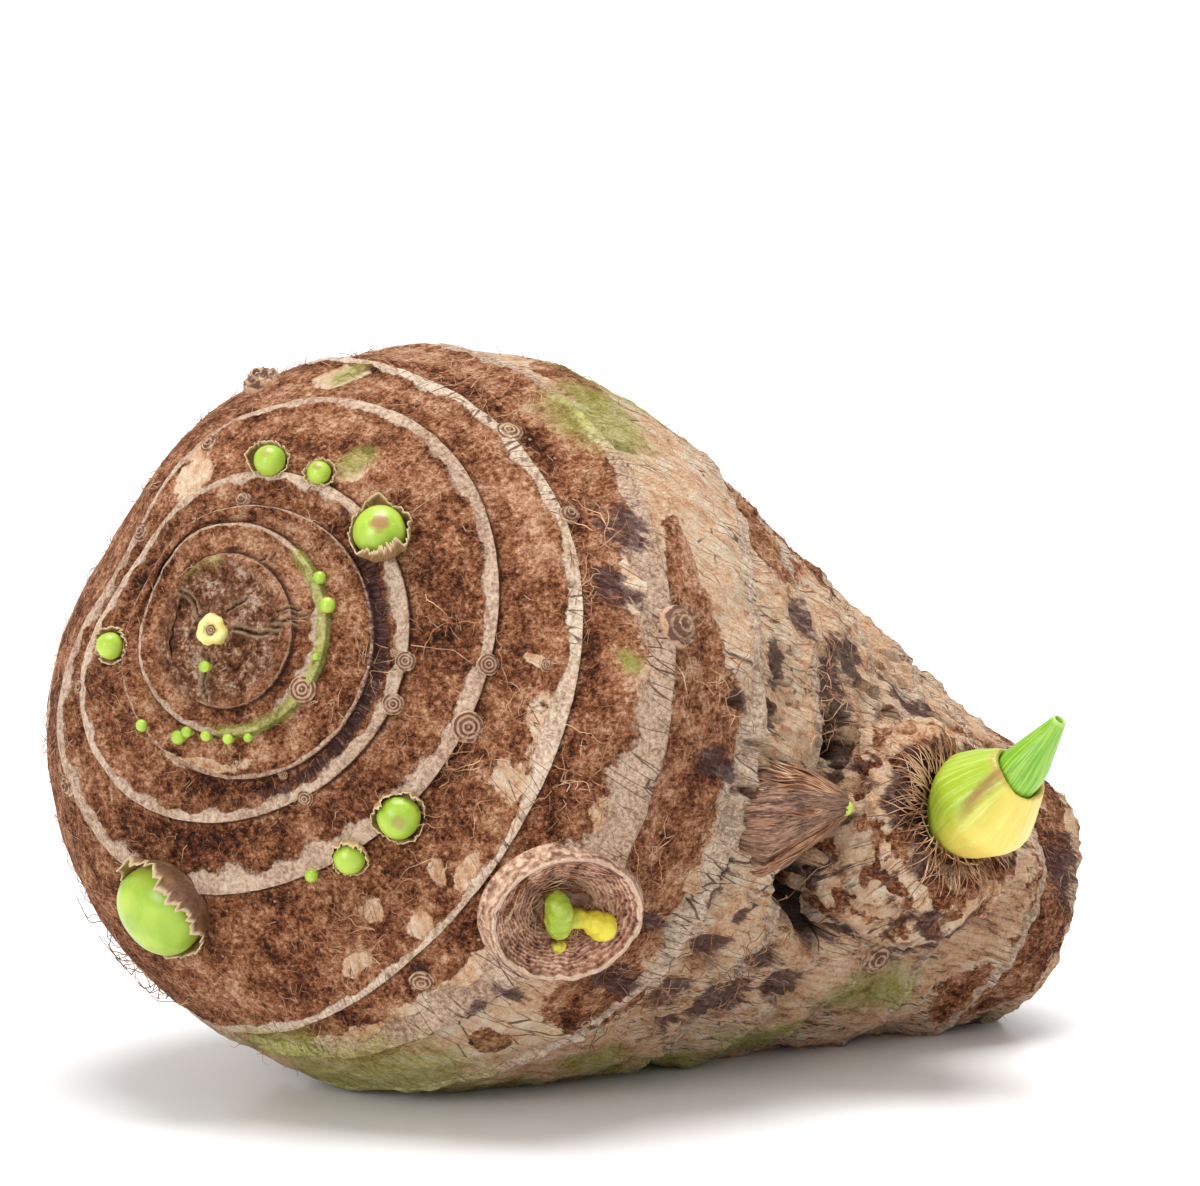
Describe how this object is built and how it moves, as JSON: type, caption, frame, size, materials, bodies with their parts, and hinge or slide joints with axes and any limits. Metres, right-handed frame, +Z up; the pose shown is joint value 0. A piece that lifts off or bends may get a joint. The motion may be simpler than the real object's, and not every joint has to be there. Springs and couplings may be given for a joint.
{
  "type": "taro root",
  "caption": "Taro corm lying on its side: ringed brown crown dome with green buds, rough tapering neck and a side shoot with a pale sheath and a rolled leaf.",
  "frame": {"origin": "on the surface the corm lies on, under the middle of its bounding box", "axes": "+X from the crown dome to the cut end of the neck, +Z up, -Y towards the side with the shoot"},
  "size_m": [0.1426, 0.1073, 0.0951],
  "materials": {
    "corm_skin": "matte felted brown bark-like skin with pale tan leaf scars",
    "green_bud": "smooth waxy fresh green",
    "papery_scale": "dry thin torn brown scale",
    "torn_sprout": "torn yellow-green plant tissue",
    "sheath": "satin lime green fading to pale yellow",
    "rolled_leaf": "satin leaf green"
  },
  "bodies": {
    "root": {"corm": "corm_skin", "bud_lower_left": "green_bud", "bud_upper": "green_bud", "bud_low_right": "green_bud", "bud_low_middle": "green_bud", "bud_top_left": "green_bud", "bud_top_right": "green_bud", "bud_left": "green_bud", "bud_far_side": "green_bud", "scale_lower_left": "papery_scale", "scale_upper": "papery_scale", "torn_sprout": "torn_sprout", "shoot_sheath": "sheath", "shoot_leaf": "rolled_leaf"}
  },
  "joints": []
}
